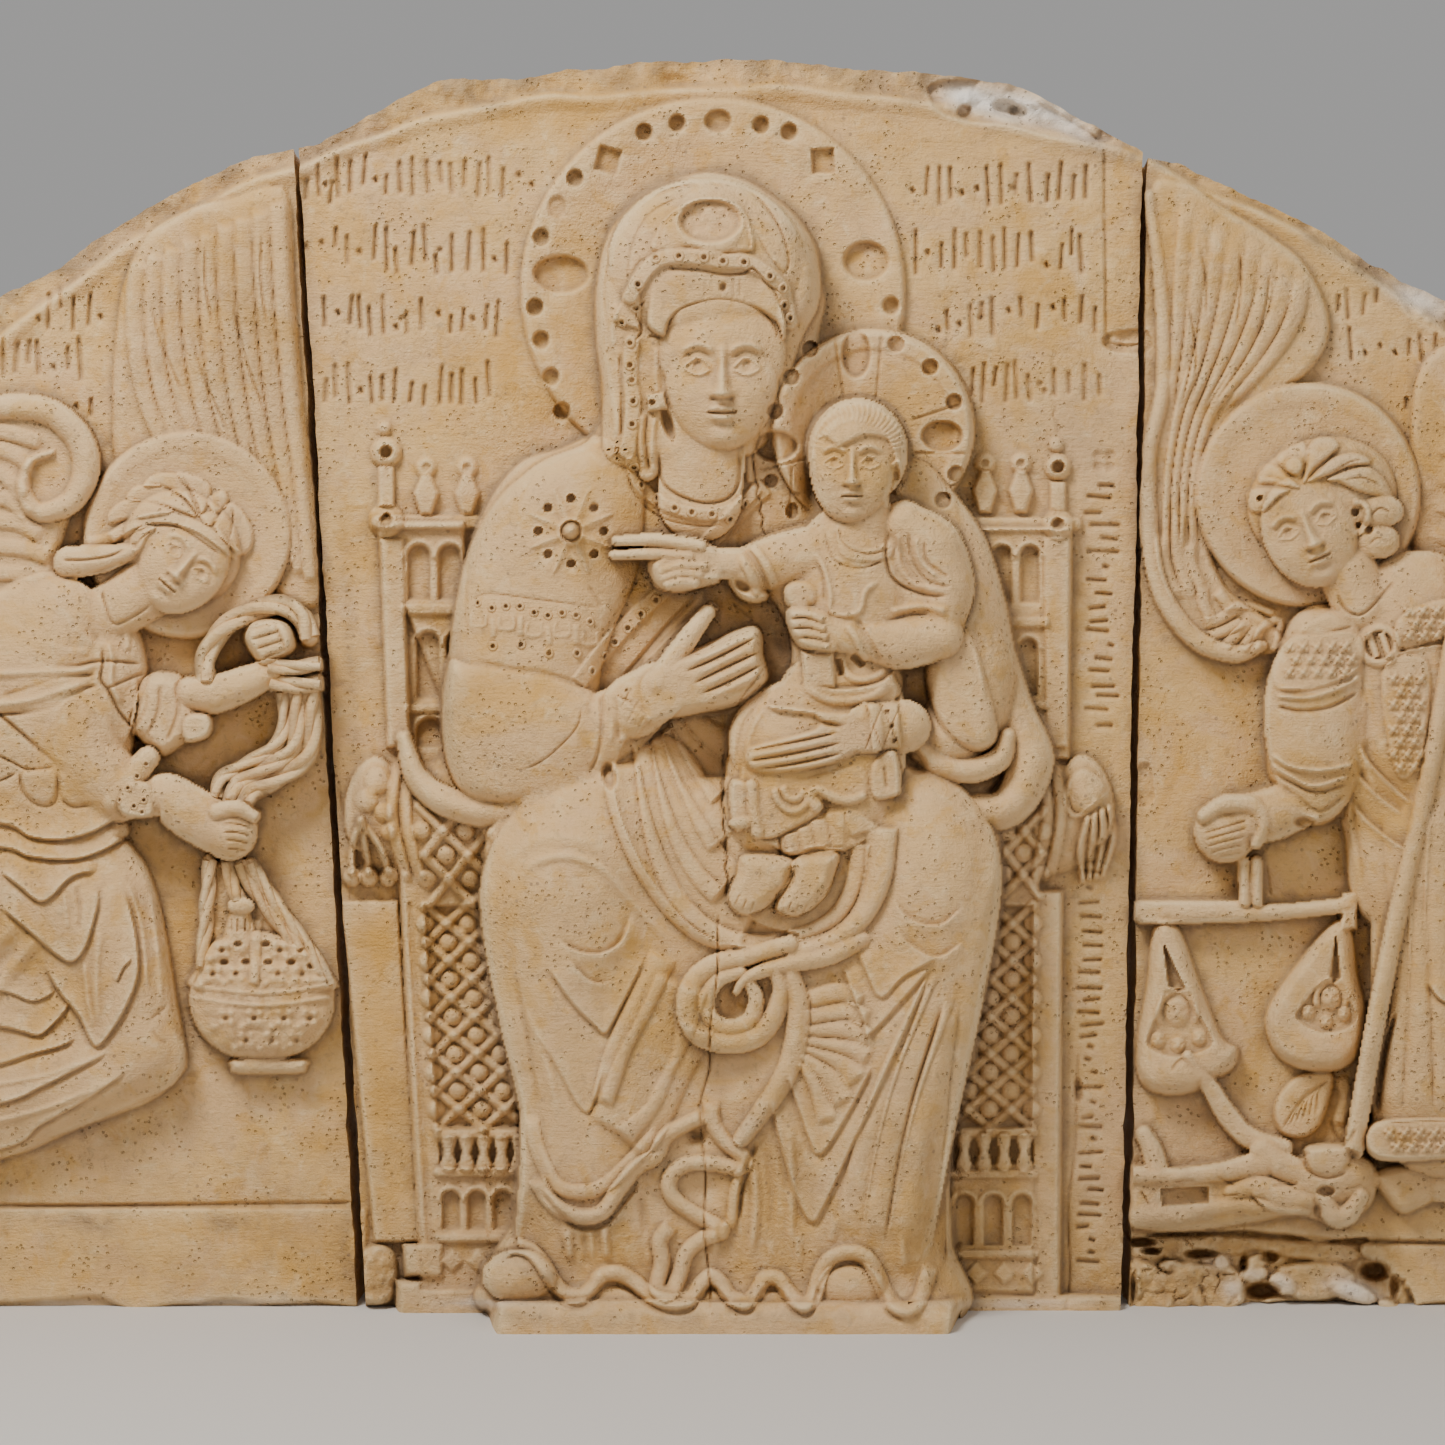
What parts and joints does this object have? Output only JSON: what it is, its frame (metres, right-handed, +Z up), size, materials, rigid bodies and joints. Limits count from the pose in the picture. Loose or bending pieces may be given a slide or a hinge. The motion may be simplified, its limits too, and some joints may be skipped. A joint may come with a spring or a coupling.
{
  "type": "plaster relief lunette",
  "caption": "Half-round plaster relief in upright panels that stand side by side: an enthroned mother and child between two winged angels.",
  "frame": {"origin": "On the underside, midway along the base and midway through the slab's thickness", "axes": "+X along the base to the viewer's right, +Y from the carved front to the flat back, +Z up the arch"},
  "size_m": [2.4239, 0.2714, 1.2477],
  "materials": {
    "aged_plaster": "matte"
  },
  "bodies": {
    "root": {"left_panel": "aged_plaster", "centre_panel": "aged_plaster", "right_panel": "aged_plaster"}
  },
  "joints": []
}
